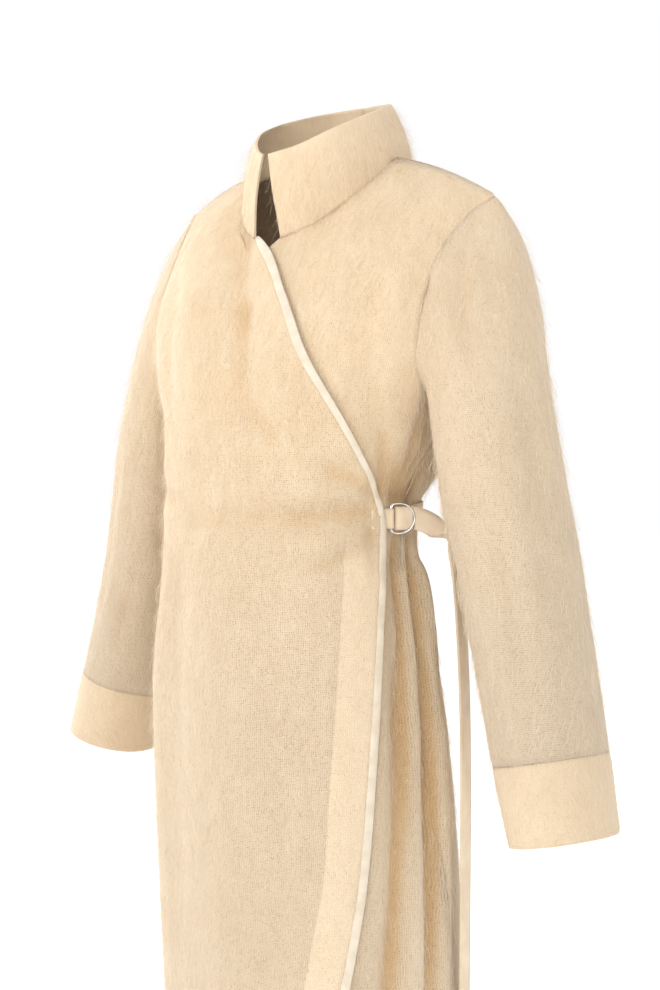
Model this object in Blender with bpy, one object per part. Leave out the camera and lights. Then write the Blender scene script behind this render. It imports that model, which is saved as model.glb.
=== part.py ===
"""Wrap coat in mohair cloth, worn closed and tied with its own D-ring belt.

Metres, +Z up. The wearer faces -Y and the wearer's left is +X. The origin lies midway between
the high points of the two shoulders, where the wearer carries the coat.

Every cloth panel is cut from one body surface. A place on it is an angle round the body
(0 in front, 90 at the wearer's left, 180 behind) and a level: 0 at the underarm, the height
below it as a negative number, and above it the share of the way up to the shoulder seam.
"""

import math
from collections import namedtuple

import bmesh
import bpy
import numpy as np
from mathutils import Vector

# Driving dimensions
CLOTH = 0.0016          # wall of the single cloth
DOUBLE_CLOTH = 0.0026   # wall of the collar, the cuffs and the straps
SEAM_GAP = 0.0003       # between two pieces at a seam
EDGE_CLOTH = 0.0018     # wall of the double cloth at a folded edge
CUFF_GAP = 0.0004       # between the sleeve and its cuff
COLLAR_LIFT = 0.0016    # how far the collar stands clear of the neck seam
LAP_LIFT = 0.0055       # how far the right front stands off the left front
UNDERARM = -0.262       # height of the underarm point
HEM = -1.100            # height of the hem
SHOULDER_HALF = 0.205   # centre line to the shoulder tip
NECK_HALF = 0.088       # centre line to the high point of the shoulder
NECK_FRONT = -0.084     # y of the neck hole in front
NECK_BACK = 0.086       # y of the neck hole behind
SHOULDER_SEAM_Y = 0.010
RIGHT_SHOULDER_LIFT = 0.011
SLEEVE_END = -0.604     # height of the seam between sleeve and cuff, at its axis
BELT_HEIGHT = -0.371
BELT_WIDTH = 0.023
BELT_CLOTH = 0.0022
BELT_CLEAR = 0.0016     # between the belt and the back
BELT_START = 268        # the right side seam, as an angle round the body
BELT_END = 106          # where the belt leaves the back for the rings
BELT_STEPS = 24
BINDING_WIDTH = 0.008
BINDING_THICKNESS = 0.0040
EDGE_RADIUS = 0.135     # from the body's axis to the bound edge
FACING_WIDTH = 0.033
FACING_TOP = -0.400     # height at which the facing starts
FACING_CLOTH = 0.0012
FACING_GAP = 0.0005     # between the facing and the front over it
FACING_RADIUS = 0.160   # from the body's axis to the facing
WIRE = 0.0019           # thickness of the ring wire
RING_HEIGHT = 0.032
RING_DEPTH = 0.025
RING_CORNER = 0.004     # corner radius at the ends of the straight bar
RING_STRAIGHT = 0.009   # straight run of each side before the arc
RING_STEPS = 14         # steps of the arc
RING_ANGLE = 77.8       # where the rings hang, round the body
TAB_WIDTH = 0.020
TAB_CLOTH = 0.0009

# The body below the underarm: a row for each height
Section = namedtuple("Section", "height half_width front back centre_x squareness")
BODY = (
    Section(UNDERARM, 0.172, -0.150, 0.104, 0.000, 0.82),
    Section(-0.310, 0.160, -0.152, 0.088, -0.003, 0.86),
    Section(-0.334, 0.155, -0.151, 0.080, -0.007, 0.89),
    Section(-0.354, 0.1475, -0.154, 0.065, -0.011, 0.92),
    Section(BELT_HEIGHT, 0.1465, -0.155, 0.063, -0.012, 0.93),
    Section(-0.390, 0.1465, -0.157, 0.063, -0.012, 0.94),
    Section(-0.405, 0.148, -0.159, 0.064, -0.012, 0.95),
    Section(-0.440, 0.156, -0.162, 0.070, -0.010, 0.96),
    Section(-0.560, 0.172, -0.168, 0.091, -0.010, 0.96),
    Section(-0.650, 0.178, -0.168, 0.101, -0.009, 0.96),
    Section(-0.760, 0.181, -0.162, 0.110, -0.007, 0.96),
    Section(-0.900, 0.180, -0.151, 0.120, -0.004, 0.96),
    Section(HEM, 0.184, -0.144, 0.132, 0.000, 0.96),
)

# The armhole seam: the angle at which it cuts each level of the front and of the back
Armhole = namedtuple("Armhole", "rise front back")
ARMHOLE = (
    Armhole(0.00, 90, 90),
    Armhole(0.10, 72, 107),
    Armhole(0.25, 62, 117),
    Armhole(0.45, 57, 121),
    Armhole(0.65, 58, 121),
    Armhole(0.82, 64, 116),
    Armhole(0.93, 73, 107),
    Armhole(1.00, 90, 90),
)

# The free edge of each front: its angle at each level, from the neck to the hem
Edge = namedtuple("Edge", "level angle")
RIGHT_EDGE = (
    Edge(0.70, -4.4),
    Edge(0.63, 0.0),
    Edge(0.49, 6.9),
    Edge(0.35, 14.3),
    Edge(0.21, 22.0),
    Edge(0.14, 27.4),
    Edge(0.07, 33.4),
    Edge(0.00, 39.0),
    Edge(-0.022, 46.4),
    Edge(-0.044, 54.1),
    Edge(-0.064, 61.5),
    Edge(-0.081, 69.1),
    Edge(-0.096, 74.2),
    Edge(-0.109, 76.2),
    Edge(-0.130, 76.9),
    Edge(-0.162, 73.8),
    Edge(-0.209, 68.6),
    Edge(-0.274, 64.6),
    Edge(-0.368, 59.2),
    Edge(-0.449, 55.6),
    Edge(-0.511, 51.6),
    Edge(-0.583, 44.8),
    Edge(-0.680, 36.0),
    Edge(HEM - UNDERARM, 25.0),
)
LEFT_EDGE = (
    Edge(0.72, 2),
    Edge(0.60, -1),
    Edge(0.35, -16),
    Edge(0.00, -36),
    Edge(-0.123, -50),
    Edge(-0.400, -44),
    Edge(HEM - UNDERARM, -36),
)

# Pleats and large folds of the body: a soft trough (negative) or ridge along a line on it
Fold = namedtuple("Fold", "top_angle top_height low_angle low_height width depth")
FOLDS = (
    Fold(91, -0.392, 69, -0.880, 0.013, -0.0130),
    Fold(81, -0.394, 78, -0.640, 0.011, -0.0080),
    Fold(101, -0.392, 99, -0.800, 0.016, 0.0090),
    Fold(112, -0.395, 122, -0.700, 0.017, -0.0060),
    Fold(72, -0.310, 77, -0.352, 0.012, -0.0060),
    Fold(98, -0.285, 89, -0.352, 0.012, -0.0070),
    Fold(-16, -0.060, 12, -0.290, 0.024, -0.0080),
    Fold(-2, -0.378, 66, -0.358, 0.010, -0.0035),
    Fold(-62, -0.230, -28, -0.345, 0.022, -0.0060),
    Fold(205, -0.290, 222, -0.352, 0.022, 0.0050),
    Fold(150, -0.290, 140, -0.352, 0.022, 0.0050),
    Fold(196, -0.410, 204, -0.900, 0.030, -0.0060),
    Fold(158, -0.410, 150, -0.860, 0.026, -0.0050),
    Fold(-96, -0.410, -104, -0.880, 0.024, -0.0060),
)

# The sleeve below its head: centre and half sizes across and from front to back
Tube = namedtuple("Tube", "height x y half_across half_deep")
SLEEVE = (
    Tube(-0.312, 0.2245, -0.005, 0.0575, 0.0785),
    Tube(-0.360, 0.2350, -0.004, 0.0580, 0.0765),
    Tube(-0.412, 0.2475, -0.004, 0.0570, 0.0735),
    Tube(-0.470, 0.2605, -0.006, 0.0560, 0.0710),
    Tube(-0.532, 0.2755, -0.010, 0.0550, 0.0690),
    Tube(-0.604, 0.2950, -0.018, 0.0525, 0.0655),
    Tube(-0.675, 0.3150, -0.027, 0.0490, 0.0605),
)

# The collar's upper edge: its height at each angle round the neck
CollarTop = namedtuple("CollarTop", "angle height")
COLLAR_TOP = (
    CollarTop(0, 0.003),
    CollarTop(30, 0.010),
    CollarTop(60, 0.034),
    CollarTop(95, 0.054),
    CollarTop(130, 0.068),
    CollarTop(180, 0.075),
)
COLLAR_TOP_HALF = 0.069
COLLAR_TOP_FRONT = -0.078
COLLAR_TOP_BACK = 0.072
COLLAR_BELLY = 0.004    # how far the stand swells outward halfway up
LEFT_END_LEAN = 17      # degrees by which each front end of the collar leans over at the top
RIGHT_END_LEAN = 4

# Steps of the meshes
LOWER_HEIGHTS = (
    UNDERARM, -0.284, -0.306, -0.326, -0.343, -0.3575, -0.371, -0.3845, -0.400, -0.417,
    -0.438, -0.468, -0.510, -0.570, -0.645, -0.740, -0.850, -0.970, HEM,
)
UPPER_STEPS = 10        # rows of a panel above the underarm
HEAD_STEPS = 6          # rings of the sleeve head
ARM_STEPS = 5           # rings of the sleeve below it
LEFT_SHOULDER_STEPS = 10
LEFT_NECK_STEPS = 6
RIGHT_SHOULDER_STEPS = 12
RIGHT_NECK_STEPS = 5
BACK_SHOULDER_STEPS = 6
BACK_NECK_STEPS = 7

# Colour, roughness and metallic value of each material
MOHAIR = ((0.88, 0.72, 0.50, 1), 0.95, 0.0)
MOHAIR_DOUBLE = ((0.90, 0.76, 0.55, 1), 0.95, 0.0)
BINDING = ((0.93, 0.83, 0.66, 1), 0.85, 0.0)
STRAP = ((0.80, 0.66, 0.46, 1), 0.90, 0.0)
STEEL_WIRE = ((0.75, 0.75, 0.76, 1), 0.22, 1.0)


def read(rows, place, column):
    """The column's value at a place, on a smooth curve through the rows."""
    rows = sorted(rows)
    places = np.array([row[0] for row in rows])
    values = np.array([getattr(row, column) for row in rows], float)
    slopes = np.gradient(values, places)
    place = min(max(place, places[0]), places[-1])
    i = min(int(np.searchsorted(places, place, "right")) - 1, len(rows) - 2)
    step = places[i + 1] - places[i]
    t = (place - places[i]) / step
    return float(
        values[i] * (1 + 2 * t) * (1 - t) ** 2
        + slopes[i] * step * t * (1 - t) ** 2
        + values[i + 1] * t * t * (3 - 2 * t)
        + slopes[i + 1] * step * t * t * (t - 1)
    )


def ease(low, high, value):
    """0 below low, 1 above high and smooth between them."""
    t = min(max((value - low) / (high - low), 0), 1)
    return t * t * (3 - 2 * t)


def rounded(value, squareness):
    return math.copysign(abs(value) ** squareness, value)


def degrees_of(width, radius):
    """A width of cloth as an angle round the body."""
    return math.degrees(width / radius)


# The body surface

def shoulder_height(x, behind):
    """The shoulder line, which falls away from the neck. Behind, it rises to the nape."""
    run = abs(x) - NECK_HALF
    if run > 0:
        return -0.23 * run - 1.6 * run * run
    return 0.016 * (1 - (x / NECK_HALF) ** 2) if behind else 0.0


DEGREE = 0.0026  # the length of one degree of cloth round the body


def fold_lift(angle, height):
    """How far the pleats and folds push the cloth out at one place."""
    lift = 0
    for fold in FOLDS:
        top = np.array([fold.top_angle * DEGREE, fold.top_height])
        run = np.array([fold.low_angle * DEGREE, fold.low_height]) - top
        for turn in (-360, 0, 360):
            place = np.array([(angle + turn) * DEGREE, height]) - top
            along = float(place @ run / (run @ run))
            across = float(np.linalg.norm(place - along * run)) / fold.width
            ends = ease(-0.02, 0.12, along) * ease(-0.02, 0.45, 1 - along)
            if across < 4:
                lift += fold.depth * ends * math.exp(-across * across)
    return lift


def body_base(angle, level):
    """A point of the body surface."""
    turn = math.radians(angle)
    sine, cosine = math.sin(turn), math.cos(turn)
    height = UNDERARM + min(level, 0)
    half_width = read(BODY, height, "half_width")
    front = read(BODY, height, "front")
    back = read(BODY, height, "back")
    squareness = read(BODY, height, "squareness")
    middle = (front + back) / 2
    front, back = front - middle, back - middle
    if level > 0:
        # The panels widen from the underarm to the shoulder tips
        widened = ease(-0.25, 0.5, level) - ease(-0.25, 0.5, 0) * (1 - ease(0, 0.3, level))
        half_width += (SHOULDER_HALF - half_width) * widened
        middle += (SHOULDER_SEAM_Y - middle) * ease(0, 1, level)
        front *= (1 - level ** 2.2) ** (1 / 1.4)
        back *= (1 - level ** 6) ** 0.5
    x = half_width * rounded(sine, squareness) + read(BODY, height, "centre_x")
    y = middle + (front if cosine > 0 else back) * rounded(abs(cosine), squareness)
    if level > 0:
        height += (shoulder_height(x, cosine < 0) - UNDERARM) * level
    out = fold_lift(angle, height)
    return Vector((x + out * sine, y - out * cosine, height))


def body_normal(angle, level):
    """The outward direction there."""
    step = 0.002 if level < 0.99 else -0.002
    across = body_base(angle + 1, level) - body_base(angle - 1, level)
    up = (body_base(angle, level + step) - body_base(angle, level)) * (1 if step > 0 else -1)
    return across.cross(up).normalized()


def on_body(angle, level, lift=0.0):
    return body_base(angle, level) + body_normal(angle, level) * lift


def neck_rise(angle):
    """The level at which the neck hole cuts the body surface, 1 where only the shoulder seam does."""
    def inside(level):
        point = body_base(angle, level)
        depth = NECK_FRONT if point.y < 0 else NECK_BACK
        return (point.x / NECK_HALF) ** 2 + (point.y / depth) ** 2 < 1

    low, high = 0.4, 1.0
    if not inside(0.9999):
        return 1.0
    for _ in range(24):
        middle = (low + high) / 2
        low, high = (low, middle) if inside(middle) else (middle, high)
    return high


SHOULDER_ANGLE = math.degrees(math.asin((NECK_HALF / SHOULDER_HALF) ** (1 / BODY[0].squareness)))


# Closed walls from grids of points

def material(name, finish):
    colour, roughness, metallic = finish
    made = bpy.data.materials.new(name)
    made.use_nodes = True
    shader = made.node_tree.nodes["Principled BSDF"]
    shader.inputs["Base Color"].default_value = colour
    shader.inputs["Roughness"].default_value = roughness
    shader.inputs["Metallic"].default_value = metallic
    made.diffuse_color = colour
    return made


def settled(point):
    """The right shoulder sits a little higher than the left one."""
    lift = RIGHT_SHOULDER_LIFT * ease(0.05, 0.17, -point.x) * ease(-0.28, -0.05, point.z)
    return Vector((point.x, point.y, point.z + lift))


def wall(name, inner, outer, finish, tube=False):
    """A closed wall between two grids of points, a list of rows each. A tube's rows are rings."""
    mesh = bmesh.new()
    sheets = [[[mesh.verts.new(settled(point)) for point in row] for row in grid]
              for grid in (inner, outer)]
    rows, columns = len(inner), len(inner[0])
    turns = columns if tube else columns - 1

    def quad(*corners):
        mesh.faces.new([sheets[side][row][column % columns] for side, row, column in corners])

    for row in range(rows - 1):
        for column in range(turns):
            for side in (0, 1):
                quad((side, row, column), (side, row, column + 1), (side, row + 1, column + 1),
                     (side, row + 1, column))
    for row in (0, rows - 1):
        for column in range(turns):
            quad((0, row, column), (0, row, column + 1), (1, row, column + 1), (1, row, column))
    if not tube:
        for column in (0, columns - 1):
            for row in range(rows - 1):
                quad((0, row, column), (0, row + 1, column), (1, row + 1, column), (1, row, column))
    bmesh.ops.recalc_face_normals(mesh, faces=mesh.faces)
    data = bpy.data.meshes.new(name)
    mesh.to_mesh(data)
    mesh.free()
    return place(name, data, finish)


def place(name, data, finish):
    made = bpy.data.objects.new(name, data)
    data.materials.append(material(name, finish))
    if isinstance(data, bpy.types.Mesh):
        data.shade_smooth()
        data.set_sharp_from_angle(angle=math.radians(50))
    coat.objects.link(made)
    return made


def ribbon(name, path, across, out, width, thickness, finish):
    """A flat strap along a path, with its width along across and its thickness along out."""
    inner, outer = [], []
    for point, wide, away in zip(path, across, out):
        ends = [point + wide * (width * share) for share in (-0.5, 0.5)]
        inner.append([end - away * (thickness / 2) for end in ends])
        outer.append([end + away * (thickness / 2) for end in ends])
    return wall(name, inner, outer, finish)


# The panels

def spread(parts):
    """Shares from 0 to 1 in stretches, each with its own end and number of steps."""
    shares = [0.0]
    for end, steps in parts:
        start = shares[-1]
        shares += [start + (end - start) * (k + 1) / steps for k in range(steps)]
    return shares


def neck_row(shares, first_edge, second_edge):
    """The angle and level of each column of a panel, at the shoulder seam or the neck hole."""
    start = first_edge(1)
    row = []
    for share in shares:
        limit = neck_rise(start + (second_edge(1) - start) * share)
        row.append((start + (second_edge(limit) - start) * share, limit))
    return row


def panel(name, shares, first_edge, second_edge, lift_at, finish=MOHAIR):
    """A body panel between two edges, each an angle that depends on the level and the rise."""
    inner, outer = [], []
    levels = [(step / UPPER_STEPS) for step in range(UPPER_STEPS, 0, -1)]
    levels += [height - UNDERARM for height in LOWER_HEIGHTS]
    limits = [limit for _, limit in neck_row(shares, first_edge, second_edge)]
    for level in levels:
        near, far = [], []
        for share, limit in zip(shares, limits):
            here = level * limit if level > 0 else level
            start = first_edge(level)
            angle = start + (second_edge(here) - start) * share
            lift = lift_at(angle, here)
            near.append(on_body(angle, here, lift))
            far.append(on_body(angle, here, lift + CLOTH))
        inner.append(near)
        outer.append(far)
    return wall(name, inner, outer, finish)


SEAM_ANGLE = degrees_of(SEAM_GAP / 2, EDGE_RADIUS)


def left_front_side(level):
    return read(ARMHOLE, max(level, 0), "front") - SEAM_ANGLE


def left_back_side(level):
    return read(ARMHOLE, max(level, 0), "back") + SEAM_ANGLE


def right_front_side(level):
    return -left_front_side(level)


def right_back_side(level):
    return 360 - left_back_side(level)


def right_front_edge(level):
    return read(RIGHT_EDGE, level, "angle")


def left_front_edge(level):
    return read(LEFT_EDGE, level, "angle")


def lap_lift(angle, level):
    """The right front leaves its side seam on the body surface and rises over the left front."""
    side = right_front_side(level)
    return LAP_LIFT * ease(side + 3, side + 30, angle) * ease(0.0, 0.25, 1 - level)


def flat_lift(angle, level):
    return 0.0


def binding_angle(level):
    """The binding's width as an angle round the body."""
    return degrees_of(BINDING_WIDTH, EDGE_RADIUS) * (1 - 0.3 * ease(0.15, 0.5, level))


def bound_edge(level):
    """The right front stops where its binding starts."""
    return right_front_edge(level) - binding_angle(level)


# Shares of the columns: first those that end at the shoulder seam, then those at the neck
SHOULDER_TO_CENTRE = 90 - SHOULDER_ANGLE
LEFT_COLUMNS = spread([
    (SHOULDER_TO_CENTRE / (90 - left_front_edge(1)), LEFT_SHOULDER_STEPS),
    (1, LEFT_NECK_STEPS),
])
RIGHT_COLUMNS = spread([
    (SHOULDER_TO_CENTRE / (90 + right_front_edge(1)), RIGHT_SHOULDER_STEPS),
    (1, RIGHT_NECK_STEPS),
])
BACK_COLUMNS = spread([
    (SHOULDER_TO_CENTRE / 180, BACK_SHOULDER_STEPS),
    (1 - SHOULDER_TO_CENTRE / 180, BACK_NECK_STEPS),
    (1, BACK_SHOULDER_STEPS),
])


def fronts_and_back():
    panel("left_front", LEFT_COLUMNS, left_front_side, left_front_edge, flat_lift)
    panel("right_front", RIGHT_COLUMNS, right_front_side, bound_edge, lap_lift)
    panel("back", BACK_COLUMNS, left_back_side, right_back_side, flat_lift)


# Sleeves and cuffs

def armhole_points():
    """The seam's ring, from the shoulder tip down the front and up the back, with its normals."""
    ring = []
    for step in range(UPPER_STEPS, 0, -1):
        rise = step / UPPER_STEPS
        ring.append((left_front_side(rise), rise))
    ring.append((90.0, 0.0))
    for step in range(1, UPPER_STEPS):
        rise = step / UPPER_STEPS
        ring.append((left_back_side(rise), rise))
    return [(on_body(angle, rise), body_normal(angle, rise)) for angle, rise in ring]


def tube_ring(height, count):
    """A sleeve ring square to the sleeve's axis: its points and outward directions."""
    row = {name: read(SLEEVE, height, name) for name in Tube._fields[1:]}
    ahead = {name: read(SLEEVE, height - 0.02, name) for name in ("x", "y")}
    axis = Vector((ahead["x"] - row["x"], ahead["y"] - row["y"], -0.02)).normalized()
    if height - 0.02 < SLEEVE[-1].height:
        behind = {name: read(SLEEVE, height + 0.02, name) for name in ("x", "y")}
        axis = Vector((row["x"] - behind["x"], row["y"] - behind["y"], -0.02)).normalized()
    forward = Vector((0, -1, 0))
    forward = (forward - axis * forward.dot(axis)).normalized()
    outward = forward.cross(axis)
    outward = outward if outward.x > 0 else -outward
    centre = Vector((row["x"], row["y"], height))
    points, normals = [], []
    for k in range(count):
        turn = 2 * math.pi * k / count
        points.append(centre + outward * (row["half_across"] * math.cos(turn))
                      + forward * (row["half_deep"] * math.sin(turn)))
        normals.append((outward * (math.cos(turn) * row["half_deep"])
                        + forward * (math.sin(turn) * row["half_across"])).normalized())
    return points, normals, axis


def sleeve_grid():
    """Rings of the left sleeve from the armhole to the cuff seam, with their outward directions."""
    seam = armhole_points()
    count = len(seam)
    ring, _, axis = tube_ring(SLEEVE[0].height, count)
    rows, outs = [], []
    for step in range(HEAD_STEPS):
        t = step / HEAD_STEPS
        row = []
        for k, (point, normal) in enumerate(seam):
            top = (1 + math.cos(2 * math.pi * k / count)) / 2
            start = point + Vector((SEAM_GAP * (1 + 2 * top) + CLOTH * max(normal.x, 0), 0, 0))
            leave = Vector((0.040 + 0.100 * top, 0, -0.005 - 0.025 * top))
            arrive = axis * (0.02 + 0.20 * top)
            row.append(start * ((1 + 2 * t) * (1 - t) ** 2) + leave * (t * (1 - t) ** 2)
                       + ring[k] * (t * t * (3 - 2 * t)) + arrive * (t * t * (t - 1)))
        rows.append(row)
    for step in range(ARM_STEPS + 1):
        height = SLEEVE[0].height + (SLEEVE_END - SLEEVE[0].height) * step / ARM_STEPS
        rows.append(tube_ring(height, count)[0])
    for i, row in enumerate(rows):
        before, after = rows[max(i - 1, 0)], rows[min(i + 1, len(rows) - 1)]
        out = []
        for k in range(count):
            along = after[k] - before[k]
            around = row[(k + 1) % count] - row[k - 1]
            direction = around.cross(along).normalized()
            if i == 0:
                direction = Vector((0, direction.y, direction.z)).normalized()
            out.append(direction)
        outs.append(out)
    return rows, outs


def mirrored(grid, side):
    return [[Vector((point.x * side, point.y, point.z)) for point in row] for row in grid]


def sleeves():
    rows, outs = sleeve_grid()
    centre = sum((p for p in rows[-1]), Vector()) / len(rows[-1])
    if (rows[-1][0] - centre).dot(outs[-1][0]) < 0:
        outs = [[-direction for direction in out] for out in outs]
    outer = [[p + d * CLOTH for p, d in zip(row, out)] for row, out in zip(rows, outs)]
    for side, name in ((1, "left_sleeve"), (-1, "right_sleeve")):
        wall(name, mirrored(rows, side), mirrored(outer, side), MOHAIR, tube=True)
    count = len(rows[0])
    inner, outer = [], []
    for share in (0.0, 0.04, 0.5, 0.96, 1.0):
        height = SLEEVE_END - CUFF_GAP + (SLEEVE[-1].height - SLEEVE_END) * share
        points, normals, _ = tube_ring(height, count)
        thickness = DOUBLE_CLOTH if 0 < share < 1 else EDGE_CLOTH
        inner.append(points)
        outer.append([p + n * thickness for p, n in zip(points, normals)])
    for side, name in ((1, "left_cuff"), (-1, "right_cuff")):
        wall(name, mirrored(inner, side), mirrored(outer, side), MOHAIR_DOUBLE, tube=True)


# Collar

def collar():
    """A stand collar on the neck seam, leaning in, open between its two ends in front."""
    left = neck_row(LEFT_COLUMNS, left_front_side, left_front_edge)[LEFT_SHOULDER_STEPS:]
    left.reverse()
    behind = neck_row(BACK_COLUMNS, left_back_side, right_back_side)
    behind = behind[BACK_SHOULDER_STEPS + 1:BACK_SHOULDER_STEPS + BACK_NECK_STEPS]
    right = neck_row(RIGHT_COLUMNS, right_front_side, bound_edge)[RIGHT_SHOULDER_STEPS:]
    end_angle = right_front_edge(1)
    right.append((end_angle, neck_rise(end_angle)))
    places = [(angle, min(level, 0.9995)) for angle, level in left + behind + right]
    rows = [[] for _ in range(4)]
    outs = [[] for _ in range(4)]
    for k, spot in enumerate(places):
        point = body_base(*spot)
        depth = NECK_FRONT if point.y < 0 else NECK_BACK
        turn = math.atan2(point.x / NECK_HALF, -point.y / abs(depth))
        height = read(COLLAR_TOP, abs(math.degrees(turn)), "height")
        top_depth = -COLLAR_TOP_FRONT if math.cos(turn) > 0 else COLLAR_TOP_BACK
        lean = LEFT_END_LEAN if turn > 0 or k < 3 else RIGHT_END_LEAN
        turn_top = turn - math.radians(lean) * (1 - ease(0, 75, abs(math.degrees(turn))))
        across, deep = COLLAR_TOP_HALF * math.sin(turn_top), -top_depth * math.cos(turn_top)
        top = Vector((across, deep, height))
        normal = body_normal(*spot)
        foot = point + Vector((0, 0, (CLOTH + COLLAR_LIFT) / max(normal.z, 0.45)))
        if k >= len(left) + len(behind):
            foot += normal * lap_lift(*spot)
        out = Vector((math.sin(turn) / NECK_HALF, -math.cos(turn) / abs(depth), 0)).normalized()
        for i, share in enumerate((0.0, 0.35, 0.7, 1.0)):
            belly = COLLAR_BELLY * math.sin(math.pi * share)
            rows[i].append(foot.lerp(top, share) + out * belly)
            outs[i].append(out)
    outer = [[p + d * DOUBLE_CLOTH for p, d in zip(row, out)] for row, out in zip(rows, outs)]
    wall("collar", rows, outer, MOHAIR_DOUBLE)


# Trimmings of the right front edge

def edge_levels():
    top = neck_rise(right_front_edge(1))
    levels = [step / UPPER_STEPS * top for step in range(UPPER_STEPS, 0, -1)]
    return levels + [height - UNDERARM for height in LOWER_HEIGHTS]


def binding():
    """A rounded strip that carries the right front on to its free edge."""
    inner, outer = [], []
    middle = LAP_LIFT + CLOTH / 2
    for level in edge_levels():
        end = right_front_edge(level)
        start = bound_edge(level) + 2 * SEAM_ANGLE
        near, far = [], []
        for share, thick in ((0.0, 0.75), (0.25, 1.0), (0.75, 1.0), (1.0, 0.55)):
            angle = start + (end - start) * share
            near.append(on_body(angle, level, middle - BINDING_THICKNESS / 2 * thick))
            far.append(on_body(angle, level, middle + BINDING_THICKNESS / 2 * thick))
        inner.append(near)
        outer.append(far)
    wall("front_binding", inner, outer, BINDING)


def facing():
    """The second layer inside the right front, along its edge from the belt down."""
    inner, outer = [], []
    for height in LOWER_HEIGHTS:
        if height > FACING_TOP:
            continue
        level = height - UNDERARM
        end = bound_edge(level) - degrees_of(3 * SEAM_GAP, EDGE_RADIUS)
        start = end - degrees_of(FACING_WIDTH, FACING_RADIUS)
        near, far = [], []
        for share in (0.0, 1 / 3, 2 / 3, 1.0):
            angle = start + (end - start) * share
            near.append(on_body(angle, level, LAP_LIFT - FACING_GAP - FACING_CLOTH))
            far.append(on_body(angle, level, LAP_LIFT - FACING_GAP))
        inner.append(near)
        outer.append(far)
    wall("right_front_facing", inner, outer, MOHAIR_DOUBLE)


# Belt, tab and rings

def ring_frame():
    """Where the rings hang: a point of the body surface, the way they lie and the way out."""
    start = body_base(RING_ANGLE, BELT_HEIGHT - UNDERARM)
    along = Vector((0.45, 0.89, 0)).normalized()
    return start, along, Vector((along.y, -along.x, 0))


def by_rings(along_mm, out_mm, up=0.0):
    start, along, out = ring_frame()
    return start + along * (along_mm / 1000) + out * (out_mm / 1000) + Vector((0, 0, up))


def smooth_path(points, steps):
    """The points of a Catmull-Rom curve through the given ones."""
    padded = [points[0] * 2 - points[1]] + points + [points[-1] * 2 - points[-2]]
    path = []
    for i in range(1, len(padded) - 2):
        a, b, c, d = padded[i - 1:i + 3]
        for k in range(steps):
            t = k / steps
            path.append(0.5 * (2 * b + (c - a) * t + (2 * a - 5 * b + 4 * c - d) * t ** 2
                               + (3 * b - a - 3 * c + d) * t ** 3))
    return path + [points[-1]]


def out_of_path(path, across):
    """The thickness direction of a strap: square to its run and to its width."""
    out = []
    for i, wide in enumerate(across):
        run = path[min(i + 1, len(path) - 1)] - path[max(i - 1, 0)]
        out.append(wide.cross(run).normalized())
    return out


# The strap passes the rings on this line: millimetres along and out from where they hang
STRAP_AT_RINGS = (
    (33.0, -4.6), (27.0, -3.0), (20.0, -1.0), (14.5, 0.9), (11.2, 3.2), (9.8, 6.2),
    (11.0, 9.2), (15.0, 10.4), (20.0, 10.1), (25.0, 9.7), (30.0, 9.6),
)
# From there its tail falls clear of the skirt
TAIL = (
    Vector((0.1580, -0.0403, -0.374)),
    Vector((0.1655, -0.0265, -0.383)),
    Vector((0.1715, -0.0155, -0.397)),
    Vector((0.1765, -0.0080, -0.421)),
    Vector((0.1805, -0.0055, -0.460)),
    Vector((0.1860, -0.0050, -0.540)),
    Vector((0.1890, -0.0050, -0.640)),
    Vector((0.1890, -0.0040, -0.800)),
    Vector((0.1885, -0.0030, -0.960)),
)
TAIL_ACROSS = Vector((-0.14, 0.99, 0))


def belt():
    """One strap from the right side seam round the back, up through both rings and down."""
    level = BELT_HEIGHT - UNDERARM
    lift = CLOTH + BELT_CLEAR + BELT_CLOTH / 2
    turn = (BELT_END - BELT_START) / BELT_STEPS
    angles = [BELT_START + turn * k for k in range(BELT_STEPS + 1)]
    upper = [on_body(angle, level + BELT_WIDTH / 2, lift) for angle in angles]
    lower = [on_body(angle, level - BELT_WIDTH / 2, lift) for angle in angles]
    route = [(high + low) / 2 for high, low in zip(upper, lower)]
    tilts = [(high - low).normalized() for high, low in zip(upper, lower)]
    route += smooth_path([by_rings(*place) for place in STRAP_AT_RINGS], 2)
    before_tail = len(route)
    route += smooth_path(list(TAIL), 2)
    across = []
    for i in range(len(route)):
        share = ease(before_tail - 1, before_tail + 8, i)
        run = (route[min(i + 1, len(route) - 1)] - route[max(i - 1, 0)]).normalized()
        upright = tilts[-1].lerp(Vector((0, 0, 1)), ease(len(tilts), len(tilts) + 6, i))
        wide = tilts[i] if i < len(tilts) else upright * (1 - share) - TAIL_ACROSS * share
        across.append((wide - run * wide.dot(run)).normalized())
    ribbon("belt", route, across, out_of_path(route, across), BELT_WIDTH, BELT_CLOTH, STRAP)


def tab():
    """A short tab from under the front edge that loops round the straight bars of both rings."""
    level = BELT_HEIGHT - UNDERARM
    loop = [(1.9, 7.2), (4.5, 9.3), (7.0, 7.6), (7.4, 5.3), (6.9, 3.4), (4.6, 2.6)]
    points = [on_body(angle, level, 0.0037) for angle in (69.0, 72.5, 76.0)]
    points += [by_rings(*place) for place in loop]
    points += [on_body(angle, level, 0.0027) for angle in (76.0, 72.5, 69.0)]
    path = smooth_path(points, 2)
    for point in path:
        point.z = BELT_HEIGHT
    across = [Vector((0, 0, 1))] * len(path)
    ribbon("ring_tab", path, across, out_of_path(path, across), TAB_WIDTH, TAB_CLOTH, STRAP)


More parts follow.
